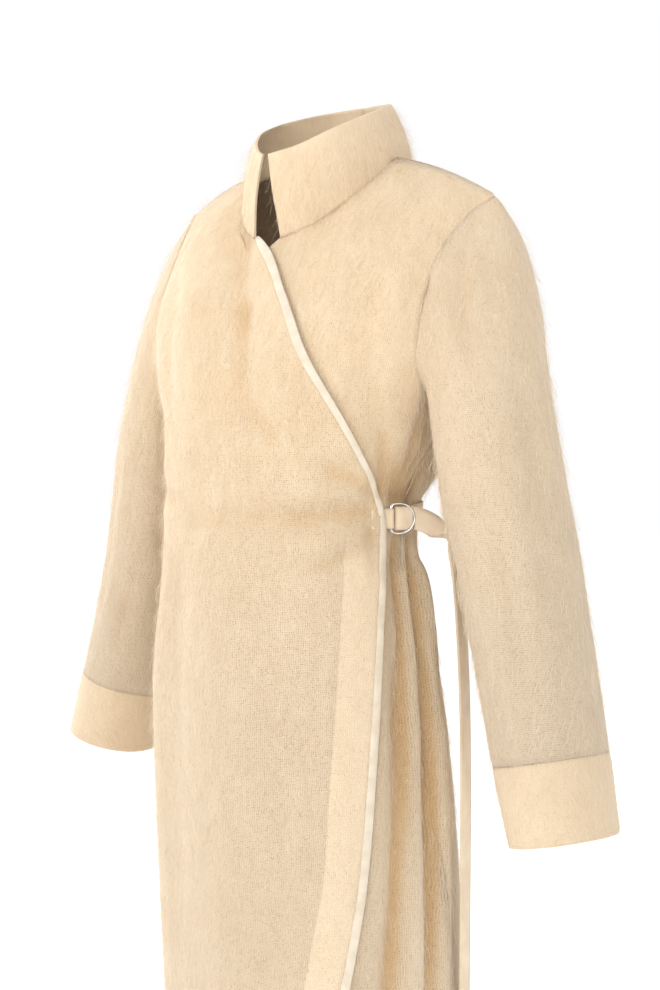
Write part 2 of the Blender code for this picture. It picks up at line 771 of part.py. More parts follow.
def d_ring(name, bar_out, arc_out):
    """A wire D: a straight bar in the tab's loop and an arc that clamps the strap."""
    half = RING_HEIGHT / 2 - WIRE / 2
    reach = RING_DEPTH - WIRE
    round_off = RING_CORNER * 0.3
    outline = [(0.0, -half + RING_CORNER), (0.0, 0.0), (0.0, half - RING_CORNER)]
    outline += [(round_off, half - round_off), (RING_CORNER, half)]
    for k in range(RING_STEPS + 1):
        t = math.pi / 2 - math.pi * k / RING_STEPS
        along = RING_STRAIGHT + (reach - RING_STRAIGHT) * math.cos(t)
        outline.append((along, half * math.sin(t)))
    outline += [(RING_CORNER, -half), (round_off, -half + round_off)]
    curve = bpy.data.curves.new(name, "CURVE")
    curve.dimensions = "3D"
    curve.bevel_depth = WIRE / 2
    curve.bevel_resolution = 2
    line = curve.splines.new("POLY")
    line.points.add(len(outline) - 1)
    line.use_cyclic_u = True
    for spot, (along, up) in zip(line.points, outline):
        out = bar_out + (arc_out - bar_out) * along / reach
        spot.co = (*by_rings(4.5 + along * 1000, out, up), 1)
    place(name, curve, STEEL_WIRE)


def rings():
    d_ring("d_ring_inner", 4.2, 5.8)
    d_ring("d_ring_outer", 6.9, 13.4)


coat = bpy.data.collections.new("wrap_coat")


def main():
    for old in list(bpy.data.objects):
        bpy.data.objects.remove(old)
    bpy.context.scene.collection.children.link(coat)
    fronts_and_back()
    sleeves()
    collar()
    binding()
    facing()
    belt()
    tab()
    rings()


main()
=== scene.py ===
import math
from collections import namedtuple

import bmesh
import bpy
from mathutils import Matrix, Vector, noise
from mathutils.bvhtree import BVHTree


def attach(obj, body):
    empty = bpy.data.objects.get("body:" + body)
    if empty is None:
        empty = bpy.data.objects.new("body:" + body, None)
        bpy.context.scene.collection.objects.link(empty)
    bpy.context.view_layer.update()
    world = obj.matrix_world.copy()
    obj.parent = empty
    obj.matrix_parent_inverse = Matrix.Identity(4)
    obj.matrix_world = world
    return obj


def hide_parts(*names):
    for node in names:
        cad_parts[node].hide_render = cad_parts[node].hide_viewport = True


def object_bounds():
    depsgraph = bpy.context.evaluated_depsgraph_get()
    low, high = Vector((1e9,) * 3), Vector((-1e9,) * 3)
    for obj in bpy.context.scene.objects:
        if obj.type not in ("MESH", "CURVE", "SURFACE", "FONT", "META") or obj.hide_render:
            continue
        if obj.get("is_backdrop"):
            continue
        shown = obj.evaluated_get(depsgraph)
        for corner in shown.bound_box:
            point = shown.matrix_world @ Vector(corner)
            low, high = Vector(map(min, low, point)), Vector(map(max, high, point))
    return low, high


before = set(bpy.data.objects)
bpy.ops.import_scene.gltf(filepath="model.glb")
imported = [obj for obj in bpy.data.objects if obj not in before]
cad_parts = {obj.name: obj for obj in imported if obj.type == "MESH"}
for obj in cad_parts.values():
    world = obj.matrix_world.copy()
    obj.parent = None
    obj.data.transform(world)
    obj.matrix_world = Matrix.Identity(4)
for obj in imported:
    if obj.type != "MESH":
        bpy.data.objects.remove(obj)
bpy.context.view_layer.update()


# ---------------------------------------------------------------------------
# The body of the coat: a left front, a right front that laps over it, and a back.
# They are brushed mohair in an open plain weave, cut in one length from the
# shoulder to the hem, joined at the side and shoulder seams and drawn in at the waist.

BODY_MIDDLE = Vector((-0.006, -0.035))  # the body's axis, seen from above
BODY_HALF = Vector((0.170, 0.130))      # its half width and half depth
UNDERARM = -0.262
HEM = -1.100
BELT_HEIGHT = -0.371
BELT_FROM = 66                          # the belt and the tab lie on the body from here
BELT_TO = -90                           # round the back to here
SHOULDER_FORWARD = 0.045                # how far the axis moves back at the shoulders
BODY_RADIUS = (BODY_HALF.x + BODY_HALF.y) / 2
UNEVEN = 0.0016                         # how far the cloth wanders from its form
FINE_UNEVEN = 0.0007
BELT_CALM = 0.010                       # the cloth lies calm this near the belt's middle
BELT_FADE = 0.012
UNDER_BELT = 0.25                       # the share of a crease that is left there

MOHAIR_LIGHT = (0.680, 0.540, 0.375, 1.0)
MOHAIR_DEEP = (0.600, 0.455, 0.295, 1.0)
MOHAIR_GREY = (0.560, 0.465, 0.355, 1.0)
# painted shade, warm and darker, for the troughs of the creases
MOHAIR_TROUGH_SHADE = (0.550, 0.365, 0.185, 1.0)
MOHAIR_GAP = (0.340, 0.240, 0.140, 1.0)
# the fibres' own colour, also used as a painted highlight on the creases' ridges
MOHAIR_FIBRE_AND_RIDGE_HIGHLIGHT = (0.800, 0.700, 0.560, 1.0)
DOUBLE_BAND = (0.745, 0.600, 0.425, 1.0)
WOOL_SHEEN = (1.0, 0.93, 0.82, 1.0)

# A crease runs between two places on a piece. Each is an angle round it in degrees and a
# height in metres. A trough has a negative depth, a ridge a positive one.
Crease = namedtuple("Crease", "from_turn from_height to_turn to_height width depth")

BODY_CREASES = (
    # pleats that run down from the rings
    Crease(80, -0.384, 76, -0.760, 0.0075, -0.0120),
    Crease(85, -0.388, 82, -0.620, 0.0065, 0.0064),
    Crease(90, -0.388, 89, -0.900, 0.0090, -0.0130),
    Crease(95, -0.390, 96, -0.620, 0.0075, 0.0064),
    Crease(101, -0.388, 104, -0.760, 0.0090, -0.0110),
    Crease(106, -0.394, 110, -0.560, 0.0080, -0.0060),
    Crease(116, -0.392, 120, -0.640, 0.0095, -0.0060),
    Crease(74, -0.520, 62, -1.090, 0.0120, -0.0120),
    Crease(90, -0.600, 84, -1.095, 0.0120, -0.0110),
    Crease(82, -0.560, 75, -1.095, 0.0120, 0.0070),
    Crease(97, -0.560, 94, -1.095, 0.0140, 0.0070),
    # gathers above the rings
    Crease(76, -0.366, 71, -0.290, 0.0065, -0.0066),
    Crease(79, -0.366, 79, -0.250, 0.0070, -0.0076),
    Crease(83, -0.366, 88, -0.262, 0.0065, -0.0070),
    Crease(88, -0.366, 97, -0.286, 0.0075, -0.0066),
    Crease(70, -0.356, 60, -0.262, 0.0090, -0.0050),
    Crease(84, -0.290, 84, -0.190, 0.0120, -0.0044),
    # the waist: drag lines across the right front towards the rings, cloth bloused over them
    Crease(64, -0.362, 24, -0.369, 0.0120, -0.0052),
    Crease(38, -0.373, -10, -0.362, 0.0130, -0.0040),
    Crease(68, -0.346, 30, -0.316, 0.0100, -0.0044),
    Crease(58, -0.340, -2, -0.340, 0.0150, 0.0050),
    Crease(66, -0.386, 26, -0.428, 0.0110, -0.0050),
    Crease(56, -0.324, 8, -0.292, 0.0140, -0.0030),
    Crease(2, -0.378, -46, -0.364, 0.0130, -0.0040),
    Crease(-30, -0.356, -74, -0.350, 0.0130, -0.0044),
    Crease(60, -0.400, 14, -0.388, 0.0140, 0.0030),
    # soft folds from the right shoulder to the waist
    Crease(-18, -0.050, 1, -0.200, 0.0145, -0.0074),
    Crease(-2, -0.150, 11, -0.300, 0.0145, -0.0084),
    Crease(24, -0.290, 6, -0.252, 0.0130, -0.0050),
    Crease(-42, -0.115, -30, -0.318, 0.0170, -0.0052),
    Crease(-62, -0.190, -50, -0.340, 0.0140, -0.0056),
    Crease(16, -0.190, 32, -0.322, 0.0150, 0.0040),
    Crease(44, -0.120, 62, -0.300, 0.0160, -0.0040),
    # the long skirt in front
    Crease(-24, -0.400, -30, -0.960, 0.0260, -0.0090),
    Crease(4, -0.440, 0, -1.060, 0.0300, 0.0074),
    Crease(-52, -0.392, -58, -0.880, 0.0220, -0.0090),
    Crease(-78, -0.396, -84, -0.760, 0.0160, -0.0050),
    Crease(28, -0.560, 20, -1.040, 0.0260, -0.0036),
    # the back, above and below the belt
    Crease(132, -0.292, 137, -0.362, 0.0090, -0.0034),
    Crease(148, -0.270, 150, -0.362, 0.0110, -0.0040),
    Crease(167, -0.300, 166, -0.362, 0.0090, -0.0030),
    Crease(184, -0.262, 186, -0.362, 0.0120, -0.0042),
    Crease(204, -0.292, 200, -0.362, 0.0090, -0.0034),
    Crease(222, -0.280, 217, -0.362, 0.0110, -0.0038),
    Crease(246, -0.300, 242, -0.362, 0.0090, -0.0030),
    Crease(130, -0.384, 127, -0.600, 0.0110, -0.0044),
    Crease(147, -0.384, 146, -0.820, 0.0150, -0.0056),
    Crease(163, -0.384, 161, -0.560, 0.0100, -0.0038),
    Crease(178, -0.384, 180, -0.900, 0.0170, -0.0056),
    Crease(195, -0.384, 198, -0.600, 0.0110, -0.0040),
    Crease(212, -0.384, 217, -0.860, 0.0160, -0.0056),
    Crease(232, -0.384, 235, -0.580, 0.0110, -0.0042),
    Crease(250, -0.384, 256, -0.760, 0.0130, -0.0046),
)


def ease(low, high, value):
    t = min(max((value - low) / (high - low), 0.0), 1.0)
    return t * t * (3 - 2 * t)


def body_turn(x, y, z):
    """The angle round the body, 0 in front and 90 on the wearer's left."""
    rise = min(max((z - UNDERARM) / -UNDERARM, 0.0), 0.97)
    middle = BODY_MIDDLE.y + SHOULDER_FORWARD * ease(0, 1, rise)
    narrow = (1 - rise ** 2.2) ** 0.7 if y < middle else (1 - rise ** 6) ** 0.5
    across = (x - BODY_MIDDLE.x) / BODY_HALF.x
    return math.degrees(math.atan2(across, -(y - middle) / (BODY_HALF.y * narrow)))


FULL_CREASE_SHADE = 0.010      # a trough this deep and this narrow gets the whole painted shade
CREASE_WANDER = 0.105  # how far a crease wanders from its line, in widths
CREASE_REACH = 3       # how far it reaches to either side, in widths


def crease_depth(turn, height, creases, radius):
    """How deep the creases are at one place, and the painted shade they give there, negative for a
    painted highlight on a ridge.

    Each is a soft trough or ridge that fades at its ends.
    """
    depth = tone = 0.0
    for crease in creases:
        top = Vector((math.radians(crease.from_turn) * radius, crease.from_height))
        run = Vector((math.radians(crease.to_turn) * radius, crease.to_height)) - top
        for lap in (-360, 0, 360):
            place = Vector((math.radians(turn + lap) * radius, height)) - top
            along = place.dot(run) / run.dot(run)
            if not -0.2 < along < 1.1:
                continue
            wander = CREASE_WANDER * math.sin(9 * along + crease.from_turn)
            across = (place - run * along).length / crease.width + wander
            if across < CREASE_REACH:
                fade = ease(-0.06, 0.10, along) * ease(-0.05, 0.55, 1 - along)
                here = crease.depth * fade * math.exp(-across * across)
                depth += here
                # painted shade in the troughs and painted highlight on the ridges, stronger where a
                # crease is deep and narrow
                tone -= here / FULL_CREASE_SHADE * min(1.0, (FULL_CREASE_SHADE / crease.width) ** 2)
    return depth, tone


WELD = 2e-5        # corners nearer than this are one
FLATTEST = 70      # triangles that meet at less than this angle become one face
RIM_ANGLE = 62     # edges that turn more than this stay crisp


def cloth_from(node, name, levels=2):
    """A smooth mesh on the form of a CAD node, with its rims kept crisp."""
    bm = bmesh.new()
    bm.from_mesh(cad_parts[node].data)
    bmesh.ops.remove_doubles(bm, verts=bm.verts, dist=WELD)
    bmesh.ops.join_triangles(bm, faces=bm.faces, angle_face_threshold=math.radians(FLATTEST),
                             angle_shape_threshold=math.radians(170))
    crisp = bm.edges.layers.float.new("crease_edge")
    for edge in bm.edges:
        if len(edge.link_faces) == 2 and edge.calc_face_angle(0) > math.radians(RIM_ANGLE):
            edge[crisp] = 1.0
    mesh = bpy.data.meshes.new(name)
    bm.to_mesh(mesh)
    bm.free()
    piece = bpy.data.objects.new(name, mesh)
    bpy.context.scene.collection.objects.link(piece)
    smooth = piece.modifiers.new("smooth", "SUBSURF")
    smooth.levels = smooth.render_levels = levels
    apply_modifiers(piece)
    piece.data.materials.clear()
    for polygon in piece.data.polygons:
        polygon.use_smooth = True
    return piece


def apply_modifiers(piece):
    """The evaluated shape becomes the piece's own plain mesh."""
    graph = bpy.context.evaluated_depsgraph_get()
    mesh = bpy.data.meshes.new_from_object(piece.evaluated_get(graph))
    piece.modifiers.clear()
    old = piece.data
    piece.data = mesh
    bpy.data.meshes.remove(old)
    mesh.name = piece.name


def drape_body(piece):
    """Presses the creases and a slight unevenness into a panel, both of its faces alike, and keeps
    the creases' painted shade and highlight for the colour.
    """
    hollow = piece.data.attributes.new("hollow", "FLOAT", "POINT")
    for vertex in piece.data.vertices:
        x, y, z = vertex.co
        turn = body_turn(x, y, z)
        out = Vector((math.sin(math.radians(turn)), -math.cos(math.radians(turn)), 0))
        depth, tone = crease_depth(turn, z, BODY_CREASES, BODY_RADIUS)
        drift = noise.noise(Vector((turn / 13, z * 7, 1.7))) * UNEVEN
        drift += noise.noise(Vector((turn / 5, z * 26, 6.1))) * FINE_UNEVEN
        belted = turn > BELT_FROM or turn < BELT_TO
        calm = ease(0.0, BELT_FADE, abs(z - BELT_HEIGHT) - BELT_CALM) if belted else 1.0
        vertex.co += out * (depth * (UNDER_BELT + (1 - UNDER_BELT) * calm) + drift * calm)
        # the painted shade and highlight of the creases, kept for the colour
        hollow.data[vertex.index].value = tone


RIM_FACE = 0.0006   # the faces of a wall's rim are narrower than this


def close_seams(piece, reach=0.0014, swell=0.0006, above=HEM):
    """Lets a piece's rims run a little over their neighbours', so that no gap shows at a seam."""
    bm = bmesh.new()
    bm.from_mesh(piece.data)
    moves = {}
    for face in bm.faces:
        narrow = min(edge.calc_length() for edge in face.edges) < RIM_FACE
        if narrow and face.calc_center_median().z > above:
            for vertex in face.verts:
                moves[vertex] = moves.get(vertex, Vector()) + face.normal
    for vertex, way in moves.items():
        vertex.co += way.normalized() * reach + vertex.normal * swell
    bm.to_mesh(piece.data)
    bm.free()


def body_map(piece, behind=False):
    """A map in metres along the weave: round the body, and height."""
    layer = piece.data.uv_layers.new(name="weave")
    for loop in piece.data.loops:
        x, y, z = piece.data.vertices[loop.vertex_index].co
        turn = body_turn(x, y, z)
        if behind and turn < 0:
            turn += 360
        layer.data[loop.index].uv = (math.radians(turn) * BODY_RADIUS, z)


def paint(piece, name, value_of):
    """A float attribute, one value for each vertex."""
    attribute = piece.data.attributes.new(name, "FLOAT", "POINT")
    for vertex in piece.data.vertices:
        attribute.data[vertex.index].value = value_of(vertex)


class Shading:
    """Adds nodes to one material and joins them up."""

    def __init__(self, name):
        self.material = bpy.data.materials.new(name)
        self.material.use_nodes = True
        self.tree = self.material.node_tree
        self.shader = self.tree.nodes["Principled BSDF"]

    def add(self, kind, inputs=(), **settings):
        node = self.tree.nodes.new(kind)
        for key, value in settings.items():
            setattr(node, key, value)
        for key, value in dict(inputs).items():
            self.put(node.inputs[key], value)
        return node

    def put(self, socket, value):
        if isinstance(value, bpy.types.NodeSocket):
            self.tree.links.new(value, socket)
        else:
            socket.default_value = value

    def math(self, operation, first, second=0.0):
        return self.add("ShaderNodeMath", {0: first, 1: second}, operation=operation).outputs[0]

    def mix(self, share, first, second):
        node = self.add("ShaderNodeMix", data_type="RGBA")
        self.put(node.inputs[0], share)
        self.put(node.inputs[6], first)
        self.put(node.inputs[7], second)
        return node.outputs[2]

    def stretch(self, vector, scale):
        node = self.add("ShaderNodeMapping")
        self.put(node.inputs["Vector"], vector)
        node.inputs["Scale"].default_value = scale
        return node.outputs[0]

    def noise(self, vector, scale, detail=2.0, roughness=0.5):
        node = self.add("ShaderNodeTexNoise")
        self.put(node.inputs["Vector"], vector)
        node.inputs["Scale"].default_value = scale
        node.inputs["Detail"].default_value = detail
        node.inputs["Roughness"].default_value = roughness
        return node.outputs["Fac"]

    def ramp(self, value, low, high, to_low=0.0, to_high=1.0):
        node = self.add("ShaderNodeMapRange", interpolation_type="SMOOTHSTEP")
        for socket, number in zip(node.inputs, (value, low, high, to_low, to_high)):
            self.put(socket, number)
        return node.outputs[0]


WEAVE_PITCH = 0.0033   # from one yarn to the next
YARN_WANDER = 0.0042   # how far a yarn strays from its line
FIBRE_BEND = 0.034     # how far the brushed fibres bend aside
DENSE_ABOVE = -0.12    # brushed closed above this height
OPEN_BELOW = -0.50     # and fully open below this one
FACING_WIDTH = 0.0365  # from the binding to the inner edge of the layer behind
FACING_TOP = -0.376    # where that layer starts to show
FACING_CLEAR = -0.430  # and where it shows in full
BAND_SHARE = 0.72      # how much paler it makes the cloth


def double_share(s):
    """1 where a second layer lies behind the cloth: along the free edge, from the waist down."""
    edge = s.add("ShaderNodeAttribute", attribute_name="from_edge").outputs["Fac"]
    solid = s.add("ShaderNodeTexCoord").outputs["Object"]
    height = s.add("ShaderNodeSeparateXYZ", inputs={0: solid}).outputs[2]
    near = s.ramp(edge, FACING_WIDTH + 0.001, FACING_WIDTH - 0.001)
    return s.math("MULTIPLY", near, s.ramp(height, FACING_TOP, FACING_CLEAR))


def mohair(name, light=MOHAIR_LIGHT, deep=MOHAIR_DEEP, openness=1.0, faced=False):
    """Brushed open weave: crossed yarns, small dark gaps, and a haze of fibres that lie downwards.

    It reads the piece's map "weave" and the painted shade and highlight of its creases; faced cloth
    also reads "from_edge".
    """
    s = Shading(name)
    cloth = s.add("ShaderNodeUVMap", uv_map="weave").outputs[0]
    solid = s.add("ShaderNodeTexCoord").outputs["Object"]
    height = s.add("ShaderNodeSeparateXYZ", inputs={0: solid}).outputs[2]

    # the crossed yarns, and the gaps between them where the nap is thin
    waver = s.noise(cloth, 60, 2)
    parts = s.add("ShaderNodeSeparateXYZ")
    s.put(parts.inputs[0], cloth)
    shift = s.math("MULTIPLY", s.math("SUBTRACT", waver, 0.5), YARN_WANDER)
    turns = 2 * math.pi / WEAVE_PITCH
    warp = s.math("SINE", s.math("MULTIPLY", s.math("ADD", parts.outputs[0], shift), turns))
    weft = s.math("SINE", s.math("MULTIPLY", s.math("ADD", parts.outputs[1], shift), turns))
    over = s.math("MULTIPLY", warp, weft)
    yarns = s.math("MAXIMUM", s.math("ABSOLUTE", warp), s.math("ABSOLUTE", weft))
    loose = s.ramp(s.noise(solid, 420, 2, 0.6), 0.50, 0.72)
    gaps = s.math("MULTIPLY", s.ramp(yarns, 0.90, 0.45), s.math("ADD", loose, 0.35))
    gaps = s.math("MULTIPLY", gaps,
                  s.ramp(height, DENSE_ABOVE, OPEN_BELOW, 0.40 * openness, 1.25 * openness))

    # the brushed fibres, fine strands and thicker locks
    bend = s.math("MULTIPLY", s.math("SUBTRACT", s.noise(solid, 30, 3), 0.5), FIBRE_BEND)
    aside = s.math("ADD", parts.outputs[0], bend)
    lie = s.add("ShaderNodeCombineXYZ", {0: aside, 1: parts.outputs[1]})
    strands = s.noise(s.stretch(lie.outputs[0], (800, 46, 1)), 1, 3, 0.6)
    fibres = s.noise(s.stretch(lie.outputs[0], (300, 26, 1)), 1, 4, 0.7)

    # uneven dye, greyer lower down, painted shade in the troughs and a painted highlight on the
    # ridges
    cloud = s.noise(solid, 9, 3, 0.55)
    patch = s.noise(s.stretch(solid, (1, 1, 0.35)), 42, 3, 0.6)
    share = s.math("ADD", s.math("MULTIPLY", cloud, 0.7), s.math("MULTIPLY", patch, 0.6))
    colour = s.mix(s.ramp(share, 0.30, 1.00), deep, light)
    colour = s.mix(s.ramp(height, -0.28, -0.62, 0.0, 0.45 * openness), colour, MOHAIR_GREY)
    hollow = s.add("ShaderNodeAttribute", attribute_name="hollow").outputs["Fac"]
    # painted shade in the troughs, then a painted highlight on the ridges
    colour = s.mix(s.ramp(hollow, 0.03, 0.75, 0.0, 0.95), colour, MOHAIR_TROUGH_SHADE)
    colour = s.mix(s.ramp(hollow, -0.04, -0.60, 0.0, 0.30), colour, MOHAIR_FIBRE_AND_RIDGE_HIGHLIGHT)

    # fibres and gaps over that, then the layer behind
    colour = s.mix(s.ramp(fibres, 0.56, 0.74, 0.0, 0.38), colour, MOHAIR_FIBRE_AND_RIDGE_HIGHLIGHT)
    colour = s.mix(s.ramp(strands, 0.50, 0.32, 0.0, 0.18), colour, MOHAIR_GAP)
    colour = s.mix(gaps, colour, MOHAIR_GAP)
    if faced:
        colour = s.mix(s.math("MULTIPLY", double_share(s), BAND_SHARE), colour, DOUBLE_BAND)
    s.put(s.shader.inputs["Base Color"], colour)

    woven = s.math("MULTIPLY", over, s.ramp(height, DENSE_ABOVE, OPEN_BELOW, 0.03, 0.18))
    relief = s.math("ADD", woven, s.math("MULTIPLY", strands, 0.55))
    relief = s.math("ADD", relief, s.math("MULTIPLY", fibres, 0.9))
    relief = s.math("SUBTRACT", relief, s.math("MULTIPLY", gaps, 0.9))
    bump = s.add("ShaderNodeBump")
    s.put(bump.inputs["Height"], relief)
    bump.inputs["Strength"].default_value = 0.7
    bump.inputs["Distance"].default_value = 0.0010
    s.put(s.shader.inputs["Normal"], bump.outputs[0])

    s.shader.inputs["Roughness"].default_value = 0.92
    s.shader.inputs["Specular IOR Level"].default_value = 0.18
    s.shader.inputs["Sheen Weight"].default_value = 0.35
    s.shader.inputs["Sheen Roughness"].default_value = 0.45
    s.shader.inputs["Sheen Tint"].default_value = WOOL_SHEEN
    return s.material


OUTWARD = 0.35      # a face that looks outwards by more than this is on the outer side
SHOULDERS = -0.10   # above here the way out also rises


def mark_outside(piece, out_at):
    """1 on the outer face of a wall, 0 on its inner face and its rims."""
    paint(piece, "outside", lambda vertex: float(vertex.normal.dot(out_at(vertex.co)) > OUTWARD))


def body_out(place):
    upward = 0.10 if place.z > SHOULDERS else 0.0
    return Vector((place.x - BODY_MIDDLE.x, place.y - BODY_MIDDLE.y, upward)).normalized()


class Tree:
    """A Geometry Nodes tree with named inputs."""

    def __init__(self, name, sizes):
        self.tree = bpy.data.node_groups.new(name, "GeometryNodeTree")
        face = self.tree.interface
        face.new_socket("Geometry", in_out="INPUT", socket_type="NodeSocketGeometry")
        face.new_socket("Geometry", in_out="OUTPUT", socket_type="NodeSocketGeometry")
        self.sockets = {}
        for size, (kind, value) in sizes.items():
            socket = face.new_socket(size, in_out="INPUT", socket_type=kind)
            if value is not None:
                socket.default_value = value
            self.sockets[size] = socket.identifier
        self.start = self.tree.nodes.new("NodeGroupInput")
        self.end = self.tree.nodes.new("NodeGroupOutput")

    def size(self, name):
        return self.start.outputs[name]

    def add(self, kind, inputs=(), **settings):
        node = self.tree.nodes.new(kind)
        for key, value in settings.items():
            setattr(node, key, value)
        for key, value in dict(inputs).items():
            if isinstance(value, bpy.types.NodeSocket):
                self.tree.links.new(value, node.inputs[key])
            else:
                node.inputs[key].default_value = value
        return node

    def finish(self, geometry, finish):
        real = self.add("GeometryNodeRealizeInstances", {0: geometry})
        dressed = self.add("GeometryNodeSetMaterial", {0: real.outputs[0], "Material": finish})
        self.tree.links.new(dressed.outputs[0], self.end.inputs[0])

    def grow(self, name, source, **sizes):
        """A new plain mesh that this tree makes from the source object."""
        made = bpy.data.objects.new(name, source.data.copy())
        bpy.context.scene.collection.objects.link(made)
        modifier = made.modifiers.new(name, "NODES")
        modifier.node_group = self.tree
        for size, value in sizes.items():
            modifier[self.sockets[size]] = value
        graph = bpy.context.evaluated_depsgraph_get()
        mesh = bpy.data.meshes.new_from_object(made.evaluated_get(graph))
        bpy.data.objects.remove(made)
        made = bpy.data.objects.new(name, mesh)
        bpy.context.scene.collection.objects.link(made)
        return made


SPREAD = (0.80, 0.80, 0.45)   # how far a hair strays from straight down
LEAST_LIFT = 0.02
SHORTEST = 0.35               # as a share of the longest hair
TIP_WIDTH = 0.2               # as a share of the width at the root
HAIR_POINTS = 5
WAVES = 55.0                  # bends in a metre of hair


def nap_tree():
    """Fine hairs that grow out of a surface, lie downwards on it and wave a little."""
    t = Tree("nap", {"Density": ("NodeSocketFloat", 20000.0), "Length": ("NodeSocketFloat", 0.03),
                     "Width": ("NodeSocketFloat", 0.0002), "Lift": ("NodeSocketFloat", 0.3),
                     "Wave": ("NodeSocketFloat", 0.02),
                     "Seed": ("NodeSocketInt", 1), "Finish": ("NodeSocketMaterial", None)})

    # the roots, on the outer side only
    outside = t.add("GeometryNodeInputNamedAttribute", {"Name": "outside"}, data_type="FLOAT")
    chosen = t.add("FunctionNodeCompare", {0: outside.outputs[0], 1: 0.9},
                   operation="GREATER_THAN")
    points = t.add("GeometryNodeDistributePointsOnFaces",
                   {"Mesh": t.size("Geometry"), "Selection": chosen.outputs[0],
                    "Density": t.size("Density"), "Seed": t.size("Seed")})
    normal = points.outputs["Normal"]

    # the way each hair points: down along the cloth, a little aside and a little away from it
    spread = t.add("FunctionNodeRandomValue", {0: [-k for k in SPREAD], 1: SPREAD,
                                               "Seed": t.size("Seed")}, data_type="FLOAT_VECTOR")
    down = t.add("ShaderNodeVectorMath", {0: spread.outputs[0], 1: (0, 0, -1)}, operation="ADD")
    onto = t.add("ShaderNodeVectorMath", {0: down.outputs[0], 1: normal}, operation="PROJECT")
    flat = t.add("ShaderNodeVectorMath", {0: down.outputs[0], 1: onto.outputs[0]},
                 operation="SUBTRACT")
    even = t.add("ShaderNodeVectorMath", {0: flat.outputs[0]}, operation="NORMALIZE")
    rise = t.add("FunctionNodeRandomValue", {2: LEAST_LIFT, 3: t.size("Lift"), "Seed": 7},
                 data_type="FLOAT")
    raised = t.add("ShaderNodeVectorMath", {0: normal, 3: rise.outputs[1]}, operation="SCALE")
    way = t.add("ShaderNodeVectorMath", {0: even.outputs[0], 1: raised.outputs[0]},
                operation="ADD")
    turn = t.add("FunctionNodeAlignRotationToVector", {"Vector": way.outputs[0]}, axis="Z")
    roll = t.add("FunctionNodeAlignRotationToVector",
                 {"Rotation": turn.outputs[0], "Vector": normal}, axis="Y", pivot_axis="Z")

    # a straight hair at each root, shorter or longer
    long = t.add("FunctionNodeRandomValue", {2: SHORTEST, 3: 1.0, "Seed": 11}, data_type="FLOAT")
    reach = t.add("ShaderNodeMath", {0: long.outputs[1], 1: t.size("Length")},
                  operation="MULTIPLY")
    scale = t.add("ShaderNodeCombineXYZ", {0: 1.0, 1: 1.0, 2: reach.outputs[0]})
    line = t.add("GeometryNodeCurvePrimitiveLine", {"Start": (0, 0, 0), "End": (0, 0, 1)})
    steps = t.add("GeometryNodeResampleCurve", {"Curve": line.outputs[0], "Count": HAIR_POINTS})
    hairs = t.add("GeometryNodeInstanceOnPoints",
                  {"Points": points.outputs[0], "Instance": steps.outputs[0],
                   "Rotation": roll.outputs[0], "Scale": scale.outputs[0]})
    real = t.add("GeometryNodeRealizeInstances", {0: hairs.outputs[0]})

    # its wave, which grows towards the tip
    along = t.add("GeometryNodeSplineParameter")
    place = t.add("GeometryNodeInputPosition")
    wave = t.add("ShaderNodeTexNoise", {"Vector": place.outputs[0], "Scale": WAVES, "Detail": 1.0})
    centred = t.add("ShaderNodeVectorMath", {0: wave.outputs["Color"], 1: (0.5, 0.5, 0.5)},
                    operation="SUBTRACT")
    amount = t.add("ShaderNodeMath", {0: along.outputs[0], 1: t.size("Wave")},
                   operation="MULTIPLY")
    push = t.add("ShaderNodeVectorMath", {0: centred.outputs[0], 3: amount.outputs[0]},
                 operation="SCALE")
    waved = t.add("GeometryNodeSetPosition",
                  {"Geometry": real.outputs[0], "Offset": push.outputs[0]})

    # a flat strip that narrows to the tip
    thin = t.add("ShaderNodeMath", {0: along.outputs[0], 1: TIP_WIDTH - 1, 2: 1.0},
                 operation="MULTIPLY_ADD")
    tapered = t.add("GeometryNodeSetCurveRadius",
                    {"Curve": waved.outputs[0], "Radius": thin.outputs[0]})
    half = t.add("ShaderNodeMath", {0: t.size("Width"), 1: 0.5}, operation="MULTIPLY")
    right = t.add("ShaderNodeCombineXYZ", {0: half.outputs[0]})
    other = t.add("ShaderNodeVectorMath", {0: right.outputs[0], 3: -1.0}, operation="SCALE")
    strip = t.add("GeometryNodeCurvePrimitiveLine",
                  {"Start": other.outputs[0], "End": right.outputs[0]})
    mesh = t.add("GeometryNodeCurveToMesh",
                 {"Curve": tapered.outputs[0], "Profile Curve": strip.outputs[0]})
    t.finish(mesh.outputs[0], t.size("Finish"))
    return t


HAIR_DEEP = (0.690, 0.560, 0.400, 1.0)
HAIR_LIGHT = (0.800, 0.700, 0.550, 1.0)


def fibre_finish(name):
    s = Shading(name)
    solid = s.add("ShaderNodeTexCoord").outputs["Object"]
    tone = s.noise(solid, 300, 2)
    s.put(s.shader.inputs["Base Color"], s.mix(s.ramp(tone, 0.35, 0.65), HAIR_DEEP, HAIR_LIGHT))
    s.shader.inputs["Roughness"].default_value = 0.7
    s.shader.inputs["Specular IOR Level"].default_value = 0.25
    return s.material


nap = nap_tree()
loose_fibre = fibre_finish("loose_fibre")


NAP_WIDTH = 0.00014
HAIR_WIDTH = 0.00017
HAIR_WAVE = 0.017
HAIR_NUMBER = 0.09   # the loose hairs' number, length and lift, for 1 of the nap's
HAIR_LENGTH = 1.45
HAIR_LIFT = 0.6


